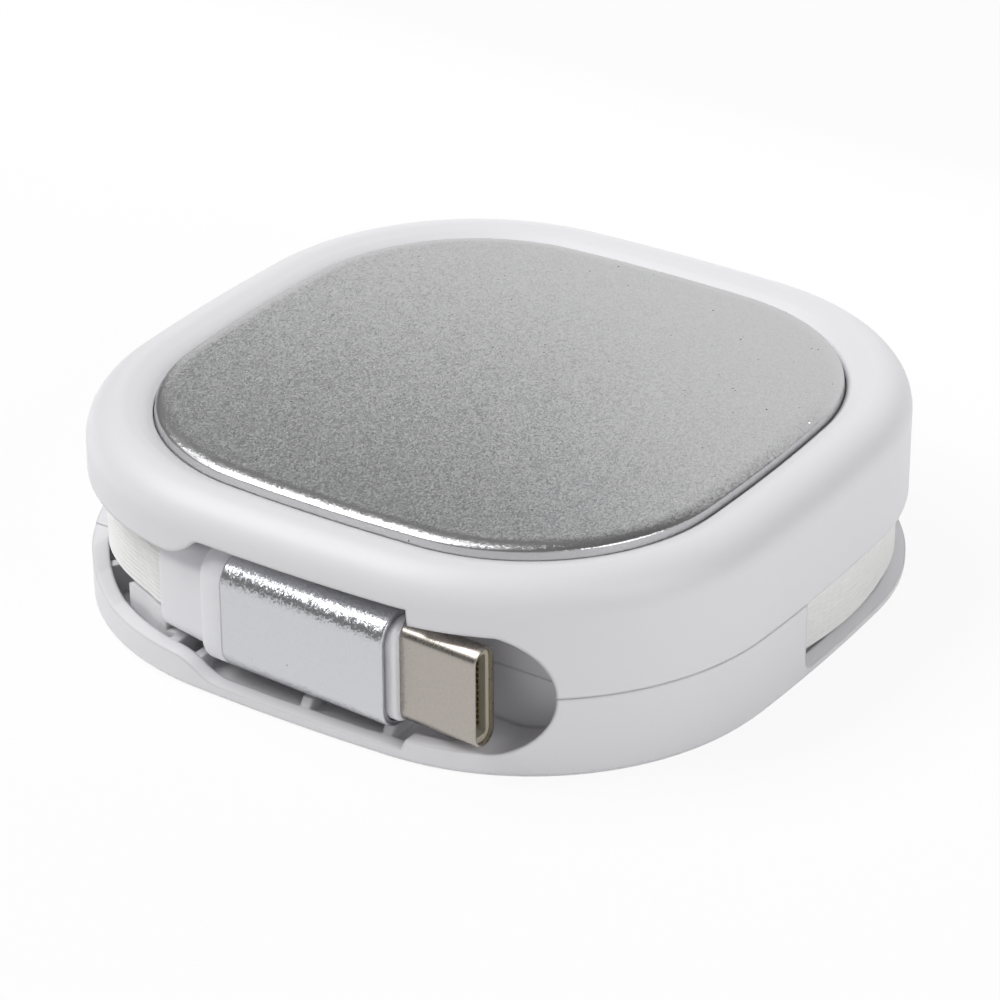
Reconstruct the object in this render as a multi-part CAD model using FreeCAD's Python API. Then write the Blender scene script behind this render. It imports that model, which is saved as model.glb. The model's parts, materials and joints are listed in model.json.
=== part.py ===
import FreeCAD, Part
import math
import os

os.makedirs("parts", exist_ok=True)

# Two-way retractable charging cable in a square puck, all lengths in mm.
# Z is up, the origin is at the middle of the underside, the front plug bay faces -Y.

# case outline: four long side arcs joined by four corner arcs
half_width = 29.25
side_radius = 178.8
corner_radius = 21.07
case_height = 16.18
seam_height = 6.66
edge_radius = 2.75
foot_chamfer = 0.35
wall = 1.35
seam_line = 0.08
floor_top = 0.6
roof_under = 12.9

# top plate and its dished rim
rim_inner_height = 15.22
recess_half = 24.22
recess_side = 147.8
recess_corner = 16.43
recess_floor = 14.3
plate_bands = [(0.5, 15.27), (0.69, 15.73), (1.15, 15.92), (4.6, 16.2)]
tape_thickness = 0.15

# centre screw and its boss under the plate
screw_radius = 0.7
screw_head = 1.9
seat_radius = 2.1
seat_height = 13.4
boss_radius = 2.75
boss_hole = 0.95

# pegs that line up the two halves
peg_spots = [(22.3, -18.6), (-22.3, 18.6)]
peg_half = 1.0

# plug bays
bay_roof = 13.0
nose_roof = 11.72
nose_x = 10.8
bay_back = -22.5
bay_start = -15.5
low_wall_top = 1.07
corner_wall_top = 2.55
rib_half = 0.45
corner_ribs = [(-11.7, 2.5), (-9.3, 2.0)]
plug_ribs = [0.9, 8.2]
plug_rib_top = 1.7
sill_top = 0.85

# plug, measured along its own axis from the sleeve mouth
plug_mouth = (9.1, -26.9, 6.8)
plug_yaw = -3.0
sleeve_height = 9.6
sleeve_depth = 5.0
sleeve_corner = 2.2
sleeve_length = 15.1
sleeve_wall = 0.45
collar_length = 2.3
relief_length = 4.7
shell_height = 8.25
shell_depth = 2.4
shell_reach = 7.45
shell_wall = 0.2
shell_corner = 1.19
nose_reach = 0.7
nose_gap = 0.16
relief_near = (8.2, 3.8, 1.7)
relief_far = (7.4, 3.2, 1.45)
contact_pitch = 0.5
contact_row = 0.5

# flat cable and spool
cable_width = 5.2
cable_thickness = 1.3
coil_low = 0.95
coil_inner = 9.75
coil_pitch = 2.66
coil_half_turns = 7
chords = 12
post_radius = 2.4
post_top = 11.4
bore_radius = 2.46
flange_radius = 21.0
flange_low = 6.4
flange_high = 7.4
cup_radius = 15.8
cup_high = 11.0
cup_wall = 0.9
hub_radius = 9.6
hook_gap = 0.12

# steel ball that runs in a groove of the flange and is kept by a slot in the upper half
ball_radius = 1.0
track_radius = 18.3
track_depth = 0.5
track_half = 1.4
ball_play = 0.03
keeper_angle = 205.0


def vec(x, y, z=0.0):
    return FreeCAD.Vector(x, y, z)


def outline(half, side, corner, inset, z):
    """Closed wire of eight tangent arcs, set in from the outline by inset."""
    reach = side - half
    c = (-reach + math.sqrt(2.0 * (side - corner) ** 2 - reach ** 2)) / 2.0
    swing = math.atan2(c, c + reach)
    edges = []
    for quarter in range(4):
        turn = quarter * math.pi / 2.0

        def spot(cx, cy, radius, angle):
            x = cx + radius * math.cos(angle)
            y = cy + radius * math.sin(angle)
            return vec(x * math.cos(turn) - y * math.sin(turn), x * math.sin(turn) + y * math.cos(turn), z)

        a = [spot(-reach, 0.0, side - inset, t) for t in (-swing, 0.0, swing)]
        edges.append(Part.Arc(*a).toShape())
        stop = math.pi / 2.0 - swing
        b = [spot(c, c, corner - inset, t) for t in (swing, math.pi / 4.0, stop)]
        edges.append(Part.Arc(*b).toShape())
    return Part.Wire(edges)


def case_slab(inset, low, high):
    wire = outline(half_width, side_radius, corner_radius, inset, low)
    return Part.Face(wire).extrude(vec(0, 0, high - low))


def plate_slab(inset, low, high):
    wire = outline(recess_half, recess_side, recess_corner, inset, low)
    return Part.Face(wire).extrude(vec(0, 0, high - low))


def box(x0, x1, y0, y1, z0, z1):
    return Part.makeBox(x1 - x0, y1 - y0, z1 - z0, vec(x0, y0, z0))


def tube(radius, low, high):
    return Part.makeCylinder(radius, high - low, vec(0, 0, low))


def square_post(half, low, high, x, y):
    return box(x - half, x + half, y - half, y + half, low, high)


def ring(outer, inner, low, high):
    return tube(outer, low, high).cut(tube(inner, low - 1.0, high + 1.0))


def save(shape, name):
    shape.exportStep("parts/" + name + ".step")


def other_end(shape):
    """The same piece on the opposite side of the case."""
    twin = shape.copy()
    twin.rotate(vec(0, 0, 0), vec(0, 0, 1), 180)
    return twin


def strip(path, place, way):
    """Solid swept along way from a closed path of lines and arcs; place puts a path point in space."""
    edges = []
    spot = path[0]
    for step in path[1:] + [path[0]]:
        if step[0] == "arc":
            edges.append(Part.Arc(place(*spot), place(*step[1]), place(*step[2])).toShape())
            spot = step[2]
        else:
            edges.append(Part.makeLine(place(*spot), place(*step)))
            spot = step
    return Part.Face(Part.Wire(edges)).extrude(way)


def mouth(head, tail, y0, y1):
    """Front opening seen along Y: cable window, S-shaped lip, bay roof, round end, low wall."""
    path = head + [
        (-11.0, 11.2),
        ("arc", (-9.6, 11.66), (-8.6, 12.3)),
        ("arc", (-8.1, 12.82), (-7.4, bay_roof)),
        (nose_x, bay_roof),
        (nose_x + 0.1, nose_roof),
        (17.2, nose_roof),
        ("arc", (19.6, 10.2), (20.92, seam_height)),
        ("arc", (20.1, 3.9), (16.6, 1.95)),
        (10.6, 1.95),
        (10.2, low_wall_top),
        (-6.2, low_wall_top),
        ("arc", (-7.4, 1.27), (-8.5, 1.81)),
        ("arc", (-9.6, 2.35), (-10.8, corner_wall_top)),
    ] + tail
    return strip(path, lambda x, z: vec(x, y0, z), vec(0, y1 - y0, 0))


def side_opening(path, x0, x1):
    """Window in a side wall, seen along X."""
    return strip(path, lambda y, z: vec(x0, y, z), vec(x1 - x0, 0, 0))


def bay_openings(head, tail):
    """The plug's bay, and the corner beside it where the cable comes round."""
    bay = mouth(head, tail, -40.0, bay_back).common(box(bay_start, 40, -40, 0, 0, 14))
    corner = mouth(head, tail, -40.0, -18.0).common(box(-40, bay_start, -40, 0, 0, 14))
    return [bay, corner]


# openings cut through both case halves
front_head = [(-40.0, 11.2)]
front_tail = [(-18.5, 2.6), (-22.0, 3.1), (-24.4, 3.8), (-40.0, 3.8)]
front_slot = [(-20.0, 3.8), (-15.3, 4.1), (-11.6, 6.2), ("arc", (-11.2, 7.1), (-11.6, 8.2))]
front_slot += [(-13.6, 10.4), (-17.0, 11.2), (-20.0, 11.2)]
rear_head = [(-40.0, seam_height), (-23.5, seam_height), (-19.5, 11.2)]
rear_tail = [(bay_start, corner_wall_top), (-21.0, sill_top), (-40.0, sill_top)]
rear_slot = [(20.0, sill_top), (20.0, seam_height), (-2.75, seam_height), (-2.75, 1.75)]
rear_slot += [("arc", (-2.45, 1.12), (-1.8, sill_top))]

# pocket under the plug, with two ribs left standing across its cable end
pocket = case_slab(wall, floor_top, 3.0).common(box(bay_start, 13.6, -40, bay_back, 0, 4))
for x, top in corner_ribs:
    pocket = pocket.cut(box(x - rib_half, x + rib_half, -40, 0, 0, top))

# room inside both halves: everything but the walls round the two bays
room = case_slab(wall, floor_top, roof_under)
room = room.cut(box(bay_start, 22.3, -40, bay_back + 1.0, -1, 20))
room = room.cut(box(-22.3, -bay_start, -bay_back - 1.0, 40, -1, 20))

cuts = [room, pocket, other_end(pocket)]
cuts += bay_openings(front_head, front_tail)
cuts += [other_end(opening) for opening in bay_openings(rear_head, rear_tail)]
cuts += [side_opening(front_slot, -40.0, -22.0), side_opening(rear_slot, 22.0, 40.0)]

# upper half: rounded outer edge, dished rim, plate recess, screw seat and centre boss
upper = case_slab(0.0, seam_height, case_height)
top_edges = [e for e in upper.Edges if min(v.Z for v in e.Vertexes) > case_height - 0.01]
upper = upper.makeFillet(edge_radius, top_edges)
rim = [(5.03, rim_inner_height), (3.9, 15.83), (3.1, 16.12), (2.4, 16.24)]
for (in_a, z_a), (in_b, z_b) in zip(rim[:-1], rim[1:]):
    low = outline(half_width, side_radius, corner_radius, in_a, z_a)
    high = outline(half_width, side_radius, corner_radius, in_b, z_b)
    upper = upper.cut(Part.makeLoft([low, high], True, True))
upper = upper.cut(plate_slab(0.0, recess_floor, 20.0))
for piece in cuts:
    upper = upper.cut(piece)
seam_ring = case_slab(-1.0, seam_height, seam_height + seam_line)
upper = upper.cut(seam_ring.cut(case_slab(seam_line, seam_height - 1, seam_height + 1)))
boss = tube(boss_radius, post_top, roof_under + 0.2)
for x, y in peg_spots:
    boss = boss.fuse(square_post(2.0, seam_height, roof_under + 0.2, x, y))
    boss = boss.fuse(square_post(peg_half, 4.4, roof_under, x, y))
ball_z = flange_high - track_depth + ball_play + ball_radius
slot_top = ball_z + ball_radius + ball_play
keeper = box(-1.95, 1.95, -1.75, 1.75, flange_high + 0.5, roof_under + 0.2)
keeper = keeper.cut(box(-1.55, 1.55, -1.1, 1.1, flange_high, slot_top))
keeper.translate(vec(track_radius, 0, 0))
keeper.rotate(vec(0, 0, 0), vec(0, 0, 1), keeper_angle)
upper = upper.fuse(boss).fuse(keeper).removeSplitter()
upper = upper.cut(tube(boss_hole, 10.0, 15.0)).cut(tube(seat_radius, seat_height, 15.0))
save(upper, "upper_shell")

# lower half: axle post, peg sockets, and a curved ledge under the front cable with a rib to the wall
lower = case_slab(0.0, 0.0, seam_height)
foot_edges = [e for e in lower.Edges if max(v.Z for v in e.Vertexes) < 0.01]
lower = lower.makeChamfer(foot_chamfer, foot_edges)
for piece in cuts:
    lower = lower.cut(piece)
post = tube(post_radius, floor_top - 0.2, post_top)
post = post.cut(box(-0.25, 0.25, -3.0, 3.0, flange_high, post_top)).cut(tube(screw_radius, 7.6, post_top))
for x, y in peg_spots:
    post = post.fuse(square_post(2.0, floor_top - 0.2, seam_height - 0.05, x, y))


def cable_path(points, first, last):
    curve = Part.BSplineCurve()
    curve.interpolate([vec(*p) for p in points], InitialTangent=vec(*first), FinalTangent=vec(*last))
    return curve


def flat_strip(curve, thickness, width, start=0.0, stop=1.0, pieces=28):
    """Flat ribbon standing on edge along a curve, closed at both ends."""
    t0 = curve.FirstParameter + start * (curve.LastParameter - curve.FirstParameter)
    t1 = curve.FirstParameter + stop * (curve.LastParameter - curve.FirstParameter)
    rails = {}
    for side in (-0.5, 0.5):
        for level in (-0.5, 0.5):
            line = []
            for i in range(pieces + 1):
                t = t0 + (t1 - t0) * i / pieces
                spot = curve.value(t)
                way = curve.tangent(t)[0]
                out = vec(way.y, -way.x, 0).normalize()
                line.append(spot + out * (side * thickness) + vec(0, 0, level * width))
            rail = Part.BSplineCurve()
            rail.interpolate(line)
            rails[side, level] = rail.toShape()
    order = [(-0.5, -0.5), (0.5, -0.5), (0.5, 0.5), (-0.5, 0.5)]
    faces = []
    for a, b in zip(order, order[1:] + order[:1]):
        faces.append(Part.makeRuledSurface(rails[a], rails[b]))
    for end in (0, 1):
        ring_points = [rails[k].Vertexes[end].Point for k in order]
        faces.append(Part.Face(Part.makePolygon(ring_points + [ring_points[0]])))
    body = Part.Solid(Part.makeShell(faces))
    if body.Volume < 0:
        body.reverse()
    return body


coil_mid = coil_low + cable_width / 2.0
plug_z = plug_mouth[2]
slant = math.tan(math.radians(plug_yaw))
relief_x = plug_mouth[0] - (sleeve_length + collar_length + relief_length) * math.cos(math.radians(plug_yaw))
relief_y = plug_mouth[1] + (relief_x - plug_mouth[0]) * slant
lead_radius = coil_inner + cable_thickness / 2.0 + coil_half_turns * coil_pitch / 2.0

# front cable: off the spool, up to plug level along the -X wall, round the corner into the plug
front_points = [(-lead_radius * 0.5, lead_radius * 0.866, coil_mid)]
front_points += [(-16.0, 13.52, coil_mid), (-18.4, 12.1, coil_mid + 0.15), (-21.8, 9.7, 4.75)]
front_points += [(-24.35, 7.0, 6.15), (-25.6, 3.0, plug_z)]
front_points += [(-26.1, -1.5, plug_z), (-26.3, -6.0, plug_z), (-25.95, -12.2, plug_z)]
front_points += [(-24.8, -16.55, plug_z), (-22.1, -20.8, plug_z), (-18.7, -23.35, plug_z)]
front_points += [(-15.6, -24.75, plug_z)]
front_points += [(relief_x, relief_y, plug_z)]
front_curve = cable_path(front_points, (-0.866, -0.5, 0.0), (1.0, slant, 0.0))
front_lead = flat_strip(front_curve, cable_thickness, cable_width)
save(front_lead, "front_lead")

# rear cable: off the spool at coil level, through the +X window, round the corner and up to its plug
rear_points = [(lead_radius * 0.5, -lead_radius * 0.866, coil_mid)]
rear_points += [(16.5, -13.23, coil_mid), (22.2, -9.85, coil_mid), (25.6, -6.9, coil_mid)]
rear_points += [(26.9, -3.0, coil_mid), (27.55, 1.0, coil_mid), (27.8, 5.0, coil_mid)]
rear_points += [(27.3, 10.2, coil_mid), (25.35, 16.9, coil_mid)]
rear_points += [(22.0, 21.8, 4.15), (17.6, 24.9, 6.05), (-relief_x, -relief_y, plug_z)]
rear_curve = cable_path(rear_points, (0.866, 0.5, 0.0), (-1.0, -slant, 0.15))
rear_lead = flat_strip(rear_curve, cable_thickness, cable_width)
save(rear_lead, "rear_lead")

ledge_high = plug_z - cable_width / 2.0 - 0.1
ledge_low = floor_top - 0.1
ledge_points = [(p[0], p[1], (ledge_low + ledge_high) / 2.0) for p in front_points[-3:]]
ledge_curve = cable_path(ledge_points, (0.77, -0.64, 0.0), (1.0, slant, 0.0))
ledge = flat_strip(ledge_curve, cable_thickness, ledge_high - ledge_low, 0.16, 0.99, 8)
corner_rib = box(0.0, 4.6, -rib_half, rib_half, ledge_low, 3.0)
corner_rib.rotate(vec(0, 0, 0), vec(0, 0, 1), 50.7)
corner_rib.translate(vec(-23.1, -22.1, 0.0))
foot_end, foot_top = corner_ribs[0]
foot_half = cable_thickness / 2.0
ledge_foot = box(relief_x - 0.4, foot_end, relief_y - foot_half, relief_y + foot_half, ledge_low, foot_top)
for piece in (post, ledge, ledge_foot, corner_rib):
    lower = lower.fuse(piece)


def plug_rib(x):
    """Rib across the pocket: level with the low wall at its front, then up to just under the plug."""
    front = x * x / (2.0 * side_radius) - half_width + wall
    back = bay_back + 0.2
    path = [
        (front - 0.2, ledge_low),
        (front - 0.2, low_wall_top),
        (front, low_wall_top),
        (front + 0.45, plug_rib_top),
        (back, plug_rib_top),
        (back, ledge_low),
    ]
    return strip(path, lambda y, z: vec(x - rib_half, y, z), vec(2.0 * rib_half, 0, 0))


for x in plug_ribs:
    lower = lower.fuse(plug_rib(x)).fuse(other_end(plug_rib(x)))
lower = lower.removeSplitter()
for x, y in peg_spots:
    lower = lower.cut(square_post(peg_half + 0.05, 4.0, 8.0, x, y))
save(lower, "lower_shell")

# top plate: flat in the middle, falling a little towards its edge, with a rounded shoulder; tape holds it
edge_inset, edge_z = plate_bands[0]
plate = plate_slab(edge_inset, recess_floor + tape_thickness, edge_z)
for (in_a, z_a), (in_b, z_b) in zip(plate_bands[:-1], plate_bands[1:]):
    low = outline(recess_half, recess_side, recess_corner, in_a, z_a)
    high = outline(recess_half, recess_side, recess_corner, in_b, z_b)
    plate = plate.fuse(Part.makeLoft([low, high], True, True))
save(plate.removeSplitter(), "top_plate")
tape = plate_slab(edge_inset + 0.8, recess_floor, recess_floor + tape_thickness)
save(tape, "plate_tape")

# centre screw under the plate: holds the halves together on the axle post
screw = tube(screw_head, seat_height, seat_height + 0.7).fuse(tube(screw_radius, 7.9, seat_height))
for a, b in ((1.1, 0.2), (0.2, 1.1)):
    screw = screw.cut(box(-a, a, -b, b, seat_height + 0.3, seat_height + 0.8))
save(screw, "axle_screw")

# steel ball that rides in the spool's stop track
ball = Part.makeSphere(ball_radius, vec(track_radius, 0, ball_z))
ball.rotate(vec(0, 0, 0), vec(0, 0, 1), keeper_angle)
save(ball, "ratchet_ball")

# spool turned as one profile: hub, flange with the stop track, spring cup
track_floor = flange_high - track_depth
profile = [
    (bore_radius, 0.9),
    (hub_radius, 0.9),
    (hub_radius, flange_low),
    (flange_radius, flange_low),
    (flange_radius, flange_high),
    (track_radius + track_half, flange_high),
    (track_radius + track_half, track_floor),
    (track_radius - track_half, track_floor),
    (track_radius - track_half, flange_high),
    (cup_radius, flange_high),
    (cup_radius, cup_high),
    (cup_radius - cup_wall, cup_high),
    (cup_radius - cup_wall, flange_high),
    (bore_radius, flange_high),
]
corners = [vec(r, 0, z) for r, z in profile]
spool = Part.Face(Part.makePolygon(corners + corners[:1])).revolve(vec(0, 0, 0), vec(0, 0, 1), 360)
spool = spool.cut(box(cup_radius - 1.5, cup_radius + 1, -hook_gap, hook_gap, flange_high + 0.2, cup_high + 1))
save(spool, "spool")

cover = ring(cup_radius, 2.9, cup_high, cup_high + 0.4)
save(cover, "spring_cover")
washer = ring(4.4, bore_radius, floor_top, 0.85)
save(washer, "spool_washer")


def wound_strip(start, thickness, pitch, half_turns, low, high):
    """Flat strip wound outwards in half circles whose centres swap sides, each drawn in straight chords."""
    inner, outer = [], []
    for k in range(half_turns):
        flip = 1.0 if k % 2 == 0 else -1.0
        middle = -flip * pitch / 4.0
        base = start + pitch / 4.0 + k * pitch / 2.0
        first = 0 if k == 0 else 1
        for i in range(first, chords + 1):
            turn = math.pi * i / chords
            for line, r in ((inner, base), (outer, base + thickness)):
                line.append(vec(middle + flip * r * math.cos(turn), flip * r * math.sin(turn), low))
    wire = Part.makePolygon(inner + outer[::-1] + inner[:1])
    return Part.Face(wire).extrude(vec(0, 0, high - low))


coil = wound_strip(coil_inner, cable_thickness, coil_pitch, coil_half_turns, coil_low, coil_low + cable_width)
coil.rotate(vec(0, 0, 0), vec(0, 0, 1), -60)
save(coil, "front_coil")
save(other_end(coil), "rear_coil")

spring_low = flange_high + 0.3
spring_high = cup_high - 0.2
spring = wound_strip(post_radius + 0.05, 0.2, 2.4, 10, spring_low, spring_high)
hook = box(cup_radius - 1.35, cup_radius + 0.2, 0.02 - hook_gap, hook_gap - 0.02, spring_low, spring_high)
spring = spring.fuse(hook).removeSplitter()
save(spring, "power_spring")


def rounded_bar(height, depth, corner, x0, x1):
    """Bar along X with a rounded rectangular section, tall in Z."""
    h, d, r = height / 2.0, depth / 2.0, corner
    edges = []
    spots = [(d - r, h - r, 0.0), (-d + r, h - r, 90.0), (-d + r, -h + r, 180.0), (d - r, -h + r, 270.0)]
    points = []
    for cy, cz, start in spots:
        arc = []
        for step in (0.0, 45.0, 90.0):
            a = math.radians(start + step)
            arc.append(vec(x0, cy + r * math.cos(a), cz + r * math.sin(a)))
        points.append(arc)
    for i, arc in enumerate(points):
        edges.append(Part.Arc(*arc).toShape())
        ahead = points[(i + 1) % 4][0]
        if (ahead - arc[2]).Length > 1e-6:
            edges.append(Part.makeLine(arc[2], ahead))
    return Part.Face(Part.Wire(edges)).extrude(vec(x1 - x0, 0, 0))


def end_edges(shape, x):
    return [e for e in shape.Edges if all(abs(v.X - x) < 1e-5 for v in e.Vertexes)]


def plug_pieces():
    """All pieces of one plug, along X with the sleeve mouth at the origin."""
    out = {}
    back = -sleeve_length
    sleeve = rounded_bar(sleeve_height, sleeve_depth, sleeve_corner, back, 0.0)
    sleeve = sleeve.makeChamfer(0.2, end_edges(sleeve, 0.0))
    bore_h = sleeve_height - 2.0 * sleeve_wall
    bore_d = sleeve_depth - 2.0 * sleeve_wall
    bore = rounded_bar(bore_h, bore_d, sleeve_corner - sleeve_wall, back - 1.0, 1.0)
    out["sleeve"] = sleeve.cut(bore)
    collar = rounded_bar(sleeve_height, sleeve_depth, sleeve_corner, back - collar_length, back - 0.04)
    out["collar"] = collar.makeChamfer(0.4, end_edges(collar, back - collar_length))
    near = back - collar_length - 0.01
    far = near - relief_length + 0.02
    section_a = rounded_bar(*relief_near, near, near - 0.1)
    section_b = rounded_bar(*relief_far, far, far - 0.1)
    wire_a = [f for f in section_a.Faces if abs(f.CenterOfMass.x - near) < 1e-5][0].OuterWire
    wire_b = [f for f in section_b.Faces if abs(f.CenterOfMass.x - far) < 1e-5][0].OuterWire
    relief = Part.makeLoft([wire_a, wire_b], True, True)
    out["relief"] = relief.makeChamfer(0.3, end_edges(relief, far))
    steel = rounded_bar(shell_height, shell_depth, shell_corner, -5.5, shell_reach)
    steel = steel.makeChamfer(0.1, end_edges(steel, shell_reach))
    inner_h = shell_height - 2.0 * shell_wall
    inner_d = shell_depth - 2.0 * shell_wall
    lining = rounded_bar(inner_h, inner_d, shell_corner - shell_wall, -6.5, shell_reach + 1.0)
    out["steel"] = steel.cut(lining)
    frame = rounded_bar(inner_h - 0.06, inner_d - 0.06, 0.95, -5.3, shell_reach - 0.35)
    slot = rounded_bar(6.7, 1.16, 0.3, 0.9, shell_reach + 1.0)
    out["insulator"] = frame.cut(slot)
    legs = []
    for row in (-1, 1):
        for i in range(12):
            z = (i - 5.5) * contact_pitch
            y = row * contact_row
            legs.append(box(1.4, shell_reach - 0.9, y - 0.07, y + 0.07, z - 0.12, z + 0.12))
    out["contacts"] = Part.makeCompound(legs)
    arms = []
    for side in (-1, 1):
        z = side * 3.2
        arms.append(box(1.2, shell_reach - 1.2, -0.3, 0.3, z - 0.09, z + 0.09))
    out["latches"] = Part.makeCompound(arms)
    out["card"] = box(-12.0, -5.6, -0.4, 0.4, -3.8, 3.8)
    core = rounded_bar(bore_h - 0.04, bore_d - 0.04, sleeve_corner - sleeve_wall - 0.02, back, -0.55)
    nose_corner = sleeve_corner - sleeve_wall - nose_gap
    nose = rounded_bar(bore_h - 2.0 * nose_gap, bore_d - 2.0 * nose_gap, nose_corner, -1.0, nose_reach)
    core = core.fuse(nose.makeChamfer(0.2, end_edges(nose, nose_reach))).removeSplitter()
    core = core.cut(rounded_bar(shell_height + 0.02, shell_depth + 0.02, shell_corner + 0.01, -5.56, 2.0))
    core = core.cut(box(-12.1, -5.5, -0.42, 0.42, -3.85, 3.85))
    out["core"] = core
    return out


for end in ("front", "rear"):
    for name, piece in plug_pieces().items():
        piece.rotate(vec(0, 0, 0), vec(0, 0, 1), plug_yaw)
        piece.translate(vec(*plug_mouth))
        if end == "rear":
            piece = other_end(piece)
        save(piece, end + "_" + name)
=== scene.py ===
import bpy
import json
import math
from mathutils import Matrix, Vector


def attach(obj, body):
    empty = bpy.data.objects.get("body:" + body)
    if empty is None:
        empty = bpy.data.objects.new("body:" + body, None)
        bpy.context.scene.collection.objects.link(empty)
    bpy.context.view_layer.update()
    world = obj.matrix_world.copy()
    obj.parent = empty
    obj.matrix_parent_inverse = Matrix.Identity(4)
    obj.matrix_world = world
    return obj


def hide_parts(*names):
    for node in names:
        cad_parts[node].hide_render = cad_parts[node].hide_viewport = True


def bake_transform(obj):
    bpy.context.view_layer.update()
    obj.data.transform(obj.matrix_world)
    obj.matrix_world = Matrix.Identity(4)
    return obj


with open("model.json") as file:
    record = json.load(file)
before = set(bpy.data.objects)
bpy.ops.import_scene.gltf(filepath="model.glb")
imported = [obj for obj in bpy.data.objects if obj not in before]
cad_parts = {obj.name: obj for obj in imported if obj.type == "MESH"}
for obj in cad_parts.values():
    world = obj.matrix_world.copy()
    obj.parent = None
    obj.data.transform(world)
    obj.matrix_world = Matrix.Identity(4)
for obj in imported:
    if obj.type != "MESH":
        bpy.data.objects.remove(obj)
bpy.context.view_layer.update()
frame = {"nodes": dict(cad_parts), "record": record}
nodes = frame["nodes"]

MM = 0.001

# how finely round forms are drawn
edge_steps = 6
corner_steps = 10
cable_edge_steps = 8
plate_side_steps = 16
plate_corner_steps = 32
shoulder_steps = 18

# flat cable, as the part's source has it; the flutes are a little coarser than real ones, so that they show
cable_width = 5.2
cable_thickness = 1.3
cable_edge = 0.4 * cable_thickness
flute_pitch = 0.38
flute_depth = 0.17
points_per_flute = 8
rings_per_mm = 2.0
coil_middle = 3.55
plug_level = 6.8

# plug, along its own axis from the sleeve mouth
plug_mouth = (9.1, -26.9, plug_level)
plug_yaw = math.radians(-3.0)
sleeve_height, sleeve_depth, sleeve_corner = 9.6, 5.0, 2.2
sleeve_back = -15.1
sleeve_wall = 0.45
sleeve_edge = 0.2
collar_back = -17.4
collar_edge = 0.7
relief_back = -22.09
relief_edge = 0.5
relief_near = (8.2, 3.8, 1.7)
relief_far = (7.4, 3.2, 1.45)
seam_gap = 0.04
seam_edge = 0.08
relief_gap = 0.01
# a ring this close to a sharp end keeps the smooth shading of the long faces flat
near_end = 0.05

# top plate: the recess it lies in, its steep side, and the shoulder that rounds over into the face
recess_half, recess_side, recess_corner = 24.22, 147.8, 16.43
plate_under = 14.45
plate_top = 16.2
plate_gap = 0.08
side_low = 15.1
shoulder_low = 15.76
side_lean = 0.14
shoulder_reach = 1.4
plate_small_edge = 0.1

# share of plain white in the paper as the camera and the metal see it; the rest keeps the shadow
white_share = 0.9

# where the two leads run, from the spool to the strain relief, in mm
front_route = [
    (-9.855, 17.069, coil_middle), (-16.0, 13.52, coil_middle), (-18.4, 12.1, 3.7), (-21.8, 9.7, 4.75),
    (-24.35, 7.0, 6.15), (-25.6, 3.0, plug_level), (-26.1, -1.5, plug_level), (-26.3, -6.0, plug_level),
    (-25.95, -12.2, plug_level), (-24.8, -16.55, plug_level), (-22.1, -20.8, plug_level),
    (-18.7, -23.35, plug_level), (-15.6, -24.75, plug_level), (-12.97, -25.743, plug_level),
]
rear_route = [
    (9.855, -17.069, coil_middle), (16.5, -13.23, coil_middle), (22.2, -9.85, coil_middle),
    (25.6, -6.9, coil_middle), (26.9, -3.0, coil_middle), (27.55, 1.0, coil_middle), (27.8, 5.0, coil_middle),
    (27.3, 10.2, coil_middle), (25.35, 16.9, coil_middle), (22.0, 21.8, 4.15), (17.6, 24.9, 6.05),
    (12.97, 25.743, plug_level),
]


def linear(code):
    """An sRGB hex colour as linear red, green, blue and alpha."""
    parts = [int(code[i:i + 2], 16) / 255.0 for i in (1, 3, 5)]
    return [c / 12.92 if c <= 0.04045 else ((c + 0.055) / 1.055) ** 2.4 for c in parts] + [1.0]


def add(tree, kind, inputs=None, **settings):
    """A shader node with its settings; an input is a value, or a node and the name of its output."""
    made = tree.nodes.new(kind)
    for name, value in settings.items():
        setattr(made, name, value)
    for name, value in (inputs or {}).items():
        if isinstance(value, tuple) and isinstance(value[0], bpy.types.Node):
            tree.links.new(value[0].outputs[value[1]], made.inputs[name])
        else:
            made.inputs[name].default_value = value
    return made


def blank(name):
    """An empty material and its node tree."""
    material = bpy.data.materials.new(name)
    material.use_nodes = True
    material.node_tree.nodes.clear()
    return material, material.node_tree


def close(tree, shader):
    """Join the shader to the material's surface."""
    add(tree, "ShaderNodeOutputMaterial", {"Surface": (shader, 0)})


def moulded_plastic(name, colour, roughness, grain, relief, soft_edge=0.0):
    """Moulded plastic: an even satin skin with the fine grain of a spark-eroded mould, and soft edges."""
    uneven = 0.06
    material, tree = blank(name)
    place = add(tree, "ShaderNodeTexCoord")
    skin = add(tree, "ShaderNodeTexNoise", {
        "Vector": (place, "Object"), "Scale": 1.0 / (grain * MM), "Detail": 2.0})
    spread = add(tree, "ShaderNodeMapRange", {
        "Value": (skin, 0), "To Min": roughness - uneven, "To Max": roughness + uneven})
    bump = add(tree, "ShaderNodeBump", {"Height": (skin, 0), "Strength": 0.35, "Distance": relief * MM})
    if soft_edge:
        rounding = add(tree, "ShaderNodeBevel", {"Radius": soft_edge * MM}, samples=6)
        tree.links.new(rounding.outputs[0], bump.inputs["Normal"])
    shader = add(tree, "ShaderNodeBsdfPrincipled", {
        "Base Color": linear(colour), "Roughness": (spread, 0), "IOR": 1.53, "Normal": (bump, 0)})
    close(tree, shader)
    return material


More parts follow.
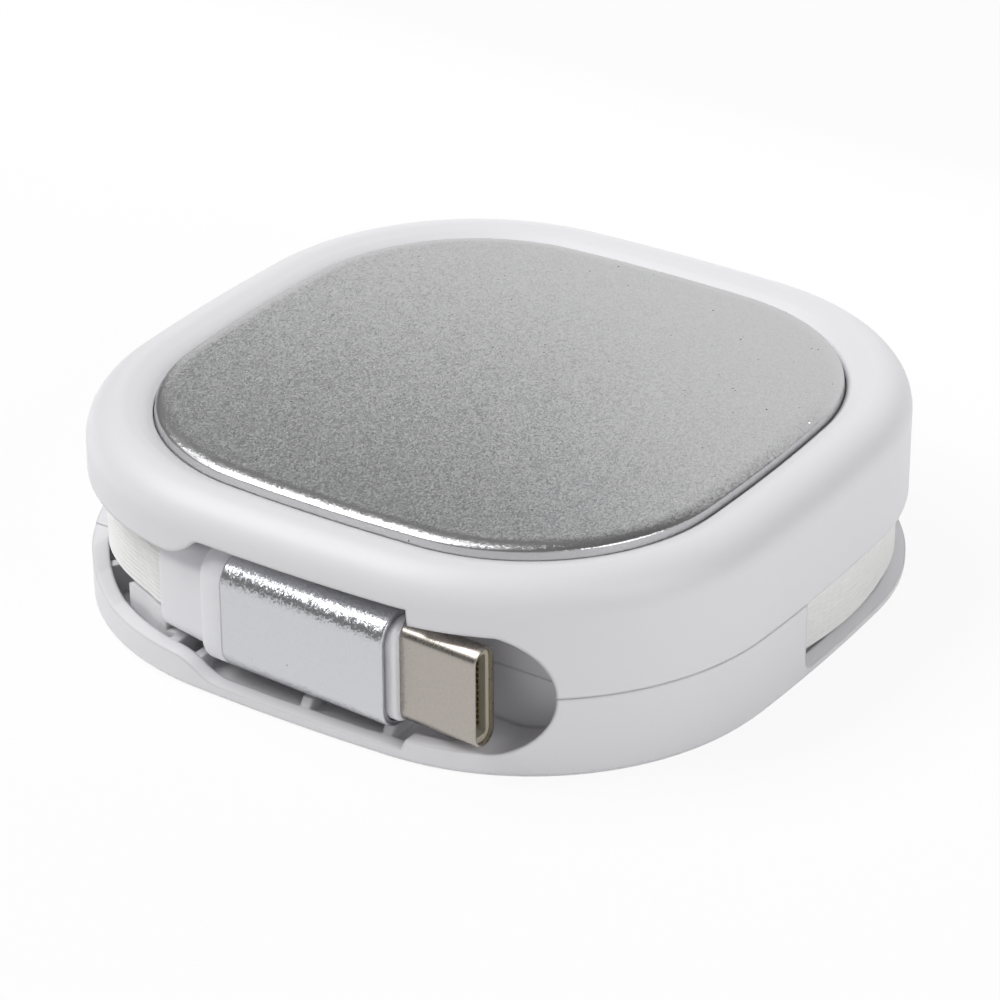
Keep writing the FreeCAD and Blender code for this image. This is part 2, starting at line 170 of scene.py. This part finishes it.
def blasted_aluminium(name, colour, roughness, grain, tilt, speckle):
    """Bead-blasted, clear anodised aluminium: a dull silver sheen, broken up into dimples that each catch
    the light a little differently and glitter along a highlight."""
    material, tree = blank(name)
    place = add(tree, "ShaderNodeTexCoord")
    dimples = add(tree, "ShaderNodeTexVoronoi", {"Vector": (place, "Object"), "Scale": 1.0 / (grain * MM)})
    middle = (0.5, 0.5, 0.5)
    lean = add(tree, "ShaderNodeVectorMath", {0: (dimples, "Color"), 1: middle}, operation="SUBTRACT")
    # a few dimples are much steeper and smoother than the rest, and glint
    rare = 0.04
    steepest = 2.0
    steep = add(tree, "ShaderNodeMapRange", {
        "Value": (dimples, "Color"), "From Max": rare, "To Min": steepest, "To Max": tilt})
    gloss = add(tree, "ShaderNodeMapRange", {
        "Value": (dimples, "Color"), "From Max": rare, "To Min": 0.5 * roughness, "To Max": roughness})
    lean = add(tree, "ShaderNodeVectorMath", {0: (lean, 0), "Scale": (steep, 0)}, operation="SCALE")
    surface = add(tree, "ShaderNodeNewGeometry")
    facing = add(tree, "ShaderNodeVectorMath", {0: (surface, "Normal"), 1: (lean, 0)}, operation="ADD")
    facing = add(tree, "ShaderNodeVectorMath", {0: (facing, 0)}, operation="NORMALIZE")
    grit = add(tree, "ShaderNodeTexNoise", {
        "Vector": (place, "Object"), "Scale": 1.0 / (grain * MM), "Detail": 2.0})
    shade = add(tree, "ShaderNodeMapRange", {
        "Value": (grit, 0), "From Min": 0.3, "From Max": 0.7,
        "To Min": 1.0 - speckle, "To Max": 1.0 + speckle})
    tone = add(tree, "ShaderNodeVectorMath", {0: linear(colour)[:3], "Scale": (shade, 0)}, operation="SCALE")
    shader = add(tree, "ShaderNodeBsdfPrincipled", {
        "Base Color": (tone, 0), "Metallic": 1.0, "Roughness": (gloss, 0), "Normal": (facing, 0)})
    close(tree, shader)
    return material


def plain_metal(name, colour, roughness, grain, stretch):
    """Drawn or rolled metal: fine lines along the way it was pulled."""
    material, tree = blank(name)
    place = add(tree, "ShaderNodeTexCoord")
    lay = add(tree, "ShaderNodeMapping", {"Vector": (place, "Object"), "Scale": stretch})
    lines = add(tree, "ShaderNodeTexNoise", {"Vector": (lay, 0), "Scale": 1.0 / (grain * MM), "Detail": 2.0})
    spread = add(tree, "ShaderNodeMapRange", {
        "Value": (lines, 0), "From Min": 0.3, "From Max": 0.7,
        "To Min": roughness - 0.05, "To Max": roughness + 0.07})
    shade = add(tree, "ShaderNodeMapRange", {
        "Value": (lines, 0), "From Min": 0.3, "From Max": 0.7, "To Min": 0.95, "To Max": 1.05})
    tone = add(tree, "ShaderNodeVectorMath", {0: linear(colour)[:3], "Scale": (shade, 0)}, operation="SCALE")
    shader = add(tree, "ShaderNodeBsdfPrincipled", {
        "Base Color": (tone, 0), "Metallic": 1.0, "Roughness": (spread, 0)})
    close(tree, shader)
    return material


finishes = {
    # plastics: an even satin white case, a little more gloss on the plug's overmould, a duller cable jacket
    "white_shell": moulded_plastic("satin_abs_moulded", "#E9E8EB", 0.45, 0.2, 0.006, 0.4),
    "plug_white": moulded_plastic("soft_overmould_white", "#F1F1F5", 0.36, 0.25, 0.012, 0.2),
    "cable_white": moulded_plastic("cable_jacket_extruded", "#F3F3F2", 0.5, 0.3, 0.002),
    # hidden or barely seen plastics, plainly coloured
    "spool_plastic": moulded_plastic("acetal_moulded", "#E2E2DD", 0.35, 0.2, 0.004),
    "insulator_grey": moulded_plastic("insulator_moulded_grey", "#B3AD9B", 0.4, 0.2, 0.004),
    "circuit_green": moulded_plastic("lacquered_circuit_board", "#1F5B3A", 0.3, 0.2, 0.003),
    "tape": moulded_plastic("film_tape", "#D9D6C8", 0.5, 0.2, 0.004),
    # aluminium: the blasting is drawn at about 0.1 mm, coarser than real grit, so that its glitter shows
    "plate_aluminium": blasted_aluminium("blasted_anodised_plate", "#CFCFD0", 0.3, 0.11, 0.14, 0.02),
    "sleeve_aluminium": blasted_aluminium("blasted_anodised_sleeve", "#CDCED2", 0.32, 0.12, 0.24, 0.02),
    # steel and gold: warm nickel with faint drawing lines, dull gold contacts, bright steel inside
    "plug_steel": plain_metal("nickel_plated_drawn_steel", "#AFA9A2", 0.3, 0.12, (1.0, 1.0, 0.3)),
    "contact_gold": plain_metal("gold_plated_contact", "#B8A678", 0.3, 0.1, (0.1, 1.0, 1.0)),
    "spring_steel": plain_metal("rolled_spring_steel", "#9A9CA0", 0.3, 0.1, (1.0, 1.0, 0.05)),
    "bright_steel": plain_metal("ground_steel", "#B9BABD", 0.2, 0.1, (1.0, 1.0, 1.0)),
}


def paint_cad_pieces():
    """Every CAD piece gets the finish that the record names for it."""
    for row in frame["record"]["subparts"]:
        mesh = nodes[row["node"]].data
        mesh.materials.clear()
        mesh.materials.append(finishes[row["material_slot"]])


def spread_curve(points, first, last, steps):
    """Evenly drawn smooth curve through the points, with its direction at both ends given."""
    spots = [Vector(p) for p in points]
    gaps = [(b - a).length for a, b in zip(spots, spots[1:])]
    slopes = [Vector(first).normalized()]
    for i in range(1, len(spots) - 1):
        before = (spots[i] - spots[i - 1]) / gaps[i - 1]
        after = (spots[i + 1] - spots[i]) / gaps[i]
        slopes.append((before * gaps[i] + after * gaps[i - 1]) / (gaps[i] + gaps[i - 1]))
    slopes.append(Vector(last).normalized())
    line = []
    for i, gap in enumerate(gaps):
        count = max(2, round(gap * steps))
        for k in range(count):
            t = k / count
            a = spots[i] * (2 * t ** 3 - 3 * t ** 2 + 1) + slopes[i] * gap * (t ** 3 - 2 * t ** 2 + t)
            b = spots[i + 1] * (3 * t ** 2 - 2 * t ** 3) + slopes[i + 1] * gap * (t ** 3 - t ** 2)
            line.append(a + b)
    line.append(spots[-1])
    return line


def tube_mesh(name, rings, finish, ends):
    """Mesh through rings of points in mm; ends are either capped or, on a hollow piece, joined up."""
    n = len(rings[0])
    points = [Vector(spot) * MM for ring in rings for spot in ring]
    rows = len(rings) if ends == "joined" else len(rings) - 1
    faces = []
    for i in range(rows):
        j = (i + 1) % len(rings)
        for k in range(n):
            m = (k + 1) % n
            faces.append((i * n + k, i * n + m, j * n + m, j * n + k))
    if ends == "capped":
        faces.append(tuple(reversed(range(n))))
        faces.append(tuple((len(rings) - 1) * n + k for k in range(n)))
    mesh = bpy.data.meshes.new(name)
    mesh.from_pydata(points, [], faces)
    mesh.shade_smooth()
    mesh.materials.append(finishes[finish])
    made = bpy.data.objects.new(name, mesh)
    bpy.context.scene.collection.objects.link(made)
    return made


def fluted_section():
    """Outline of the flat cable: flutes on both faces and half-round edges, as (across, up) in mm."""
    half = cable_thickness / 2.0
    flutes = int((cable_width - cable_edge) / flute_pitch)
    reach = flutes * flute_pitch / 2.0
    face = []
    for i in range(flutes * points_per_flute + 1):
        up = -reach + i * flute_pitch / points_per_flute
        ridge = abs(math.sin(math.pi * i / points_per_flute))
        face.append((half - flute_depth * (1.0 - ridge), up))
    edge_high = cable_width / 2.0 - reach
    edge = []
    for k in range(1, cable_edge_steps):
        turn = math.pi * k / cable_edge_steps
        edge.append(((half - flute_depth) * math.cos(turn), reach + edge_high * math.sin(turn)))
    other = [(-across, -up) for across, up in face]
    other_edge = [(-across, -up) for across, up in edge]
    return face + edge + other + other_edge


def lead(name, route, first, last):
    """One stretch of the fluted cable as a closed mesh."""
    line = spread_curve(route, first, last, rings_per_mm)
    section = fluted_section()
    rings = []
    for i, spot in enumerate(line):
        way = line[min(i + 1, len(line) - 1)] - line[max(i - 1, 0)]
        out = Vector((way.y, -way.x, 0.0)).normalized()
        rings.append([spot + out * across + Vector((0.0, 0.0, up)) for across, up in section])
    return tube_mesh(name, rings, "cable_white", "capped")


def bar_ring(x, size, inset, half_turn):
    """Rounded rectangle round the plug's axis at x, drawn in from its size by inset."""
    height, depth, corner = size
    h, d, r = height / 2.0 - inset, depth / 2.0 - inset, max(corner - inset, 0.05)
    ring = []
    quarters = [(d - r, h - r, 0.0), (r - d, h - r, 90.0), (r - d, r - h, 180.0), (d - r, r - h, 270.0)]
    for cy, cz, start in quarters:
        for step in range(corner_steps + 1):
            turn = math.radians(start + 90.0 * step / corner_steps)
            y = cy + r * math.cos(turn)
            z = cz + r * math.sin(turn)
            along = Vector((x * math.cos(plug_yaw) - y * math.sin(plug_yaw),
                            x * math.sin(plug_yaw) + y * math.cos(plug_yaw), z))
            spot = along + Vector(plug_mouth)
            ring.append(Vector((-spot.x, -spot.y, spot.z)) if half_turn else spot)
    return ring


def between(a, b, share):
    """The size that lies at a share of the way from one size to another."""
    return tuple(p + (q - p) * share for p, q in zip(a, b))


def plug_covers(end):
    """Sleeve, collar and strain relief of one plug, with the soft edges that their moulds and tools leave."""
    turned = end == "rear"
    body = (sleeve_height, sleeve_depth, sleeve_corner)
    quarter = [math.radians(90.0 * k / edge_steps) for k in range(edge_steps + 1)]

    near_back = sleeve_back + near_end
    rings = [bar_ring(x, body, 0.0, turned) for x in (sleeve_back, near_back, sleeve_back / 2.0)]
    for turn in quarter:
        x = sleeve_edge * (math.sin(turn) - 1.0)
        rings.append(bar_ring(x, body, sleeve_edge * (1.0 - math.cos(turn)), turned))
    rings += [bar_ring(x, body, sleeve_wall, turned) for x in (0.0, -near_end, near_back, sleeve_back)]
    made = tube_mesh(end + "_sleeve_skin", rings, "sleeve_aluminium", "joined")
    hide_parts(end + "_sleeve")
    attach(made, end + "_plug")

    front = sleeve_back - seam_gap
    rings = [bar_ring(front, body, seam_edge, turned), bar_ring(front - seam_edge, body, 0.0, turned)]
    for turn in quarter:
        x = collar_back + collar_edge * (1.0 - math.sin(turn))
        rings.append(bar_ring(x, body, collar_edge * (1.0 - math.cos(turn)), turned))
    made = tube_mesh(end + "_collar_skin", rings, "plug_white", "capped")
    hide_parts(end + "_collar")
    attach(made, end + "_plug")

    start = collar_back - relief_gap
    rings = []
    for share in (0.0, 0.02, 0.35, 0.7):
        x = start + (relief_back + relief_edge - start) * share
        rings.append(bar_ring(x, between(relief_near, relief_far, share), 0.0, turned))
    for turn in quarter:
        x = relief_back + relief_edge * (1.0 - math.sin(turn))
        rings.append(bar_ring(x, relief_far, relief_edge * (1.0 - math.cos(turn)), turned))
    made = tube_mesh(end + "_relief_skin", rings, "plug_white", "capped")
    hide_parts(end + "_relief")
    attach(made, end + "_plug")


def plate_ring(inset, z):
    """The recess outline, four long arcs and four corner arcs, drawn in by inset at height z."""
    reach = recess_side - recess_half
    c = (-reach + math.sqrt(2.0 * (recess_side - recess_corner) ** 2 - reach ** 2)) / 2.0
    swing = math.atan2(c, c + reach)
    ring = []
    for quarter in range(4):
        base = quarter * math.pi / 2.0
        spots = []
        for k in range(plate_side_steps):
            turn = -swing + 2.0 * swing * k / plate_side_steps
            radius = recess_side - inset
            spots.append((-reach + radius * math.cos(turn), radius * math.sin(turn)))
        for k in range(plate_corner_steps):
            turn = swing + (math.pi / 2.0 - 2.0 * swing) * k / plate_corner_steps
            radius = recess_corner - inset
            spots.append((c + radius * math.cos(turn), c + radius * math.sin(turn)))
        for x, y in spots:
            ring.append((x * math.cos(base) - y * math.sin(base), x * math.sin(base) + y * math.cos(base), z))
    return ring


def top_plate():
    """Pressed plate: a steep side, then a shoulder that rounds over into the flat face."""
    rings = [plate_ring(plate_gap + plate_small_edge, plate_under)]
    rings.append(plate_ring(plate_gap, plate_under + plate_small_edge))
    rings.append(plate_ring(plate_gap, side_low))
    start = plate_gap + side_lean
    for k in range(shoulder_steps + 1):
        turn = math.radians(90.0 * k / shoulder_steps)
        inset = start + shoulder_reach * (1.0 - math.cos(turn))
        rings.append(plate_ring(inset, shoulder_low + (plate_top - shoulder_low) * math.sin(turn)))
    rings.append(plate_ring(start + shoulder_reach + plate_small_edge, plate_top))
    made = tube_mesh("blasted_plate", rings, "plate_aluminium", "capped")
    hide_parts("top_plate")
    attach(made, "housing")


def cable_leads():
    """Both leads as fluted cable along their routes, in place of the CAD leads, fixed where they lie."""
    front = lead("front_cable", front_route, (-0.866, -0.5, 0.0), (1.0, -0.052, 0.0))
    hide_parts("front_lead")
    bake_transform(front)
    rear = lead("rear_cable", rear_route, (0.866, 0.5, 0.0), (-1.0, 0.052, 0.15))
    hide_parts("rear_lead")
    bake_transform(rear)


def studio_floor():
    """Pale paper sweep: it keeps the shadow and shows white to the camera and to the metal."""
    material, tree = blank("paper_sweep")
    ray = add(tree, "ShaderNodeLightPath")
    seen = (ray, "Is Camera Ray")
    for kind in ("Is Glossy Ray", "Is Transmission Ray"):
        seen = (add(tree, "ShaderNodeMath", {0: seen, 1: (ray, kind)}, operation="MAXIMUM"), 0)
    share = add(tree, "ShaderNodeMath", {0: seen, 1: white_share}, operation="MULTIPLY")
    paper = add(tree, "ShaderNodeBsdfDiffuse", {"Color": linear("#F4F4F4")})
    white = add(tree, "ShaderNodeEmission", {"Color": (1.0, 1.0, 1.0, 1.0), "Strength": 1.0})
    mix = add(tree, "ShaderNodeMixShader", {0: (share, 0), 1: (paper, 0), 2: (white, 0)})
    close(tree, mix)
    half = 2.0
    # a hair below the case, so that the two never share a face
    drop = -0.00002
    corners = [(x, y, drop) for x, y in ((-half, -half), (half, -half), (half, half), (-half, half))]
    mesh = bpy.data.meshes.new("paper_sweep")
    mesh.from_pydata(corners, [], [(0, 1, 2, 3)])
    mesh.materials.append(material)
    floor = bpy.data.objects.new("paper_sweep", mesh)
    bpy.context.scene.collection.objects.link(floor)


def lamp(name, place, aim, size, power):
    """An area lamp, hidden from the camera and turned towards a point."""
    light = bpy.data.lights.new(name, "AREA")
    light.shape = "RECTANGLE"
    light.size, light.size_y = size
    light.energy = power
    made = bpy.data.objects.new(name, light)
    made.location = place
    made.rotation_mode = "QUATERNION"
    made.rotation_quaternion = (Vector(aim) - Vector(place)).to_track_quat("-Z", "Y")
    made.visible_camera = False
    bpy.context.scene.collection.objects.link(made)


def studio_light():
    """Three softboxes round the object, two low white cards behind it that the plate mirrors, and a weak
    card by the camera that the plate mirrors when it is seen from behind."""
    aim = (0.0, 0.0, 0.01)
    lamp("upper_left_softbox", (-0.36, 0.0, 0.62), aim, (0.36, 0.36), 1.7)
    lamp("front_left_softbox", (-0.42, -0.34, 0.64), aim, (0.4, 0.4), 3.3)
    lamp("right_softbox", (0.68, -0.1, 0.35), aim, (0.4, 0.4), 2.1)
    lamp("camera_card", (0.33, -0.5, 0.3), aim, (0.4, 0.25), 0.1)
    lamp("back_card", (-0.03, 0.09, 0.045), (-0.03, 0.0, 0.045), (0.22, 0.07), 0.038)
    lamp("back_right_card", (0.01, 0.09, 0.095), (0.01, 0.0, 0.095), (0.11, 0.03), 0.007)
    world = bpy.data.worlds.new("studio")
    bpy.context.scene.world = world
    world.use_nodes = True
    tree = world.node_tree
    tree.nodes.clear()
    sky = add(tree, "ShaderNodeBackground", {"Color": (1.0, 1.0, 1.0, 1.0), "Strength": 0.12})
    add(tree, "ShaderNodeOutputWorld", {"Surface": (sky, 0)})


def photo_camera():
    """Camera at the photograph's angle: fitted to the outline of the case, its seam and the plate."""
    azimuth = math.radians(33.5765)
    elevation = math.radians(28.5618)
    roll = math.radians(-0.1812)
    distance = 324.52 * MM
    aim = Vector((0.6603, -1.2740, 6.3793)) * MM
    level = math.cos(elevation)
    back = Vector((math.sin(azimuth) * level, -math.cos(azimuth) * level, math.sin(elevation)))
    flat_right = Vector((math.cos(azimuth), math.sin(azimuth), 0.0))
    flat_up = back.cross(flat_right)
    right = flat_right * math.cos(roll) + flat_up * math.sin(roll)
    up = flat_up * math.cos(roll) - flat_right * math.sin(roll)
    data = bpy.data.cameras.new("photo_camera")
    data.sensor_width = 36.0
    data.lens = 148.98
    data.clip_start = 0.01
    data.clip_end = 20.0
    made = bpy.data.objects.new("photo_camera", data)
    turn = Matrix((right, up, back)).transposed().to_4x4()
    made.matrix_world = Matrix.Translation(aim + back * distance) @ turn
    bpy.context.scene.collection.objects.link(made)
    bpy.context.scene.camera = made


paint_cad_pieces()
cable_leads()
top_plate()
for end in ("front", "rear"):
    plug_covers(end)
studio_floor()
studio_light()
photo_camera()
bpy.context.scene.view_settings.view_transform = "Standard"
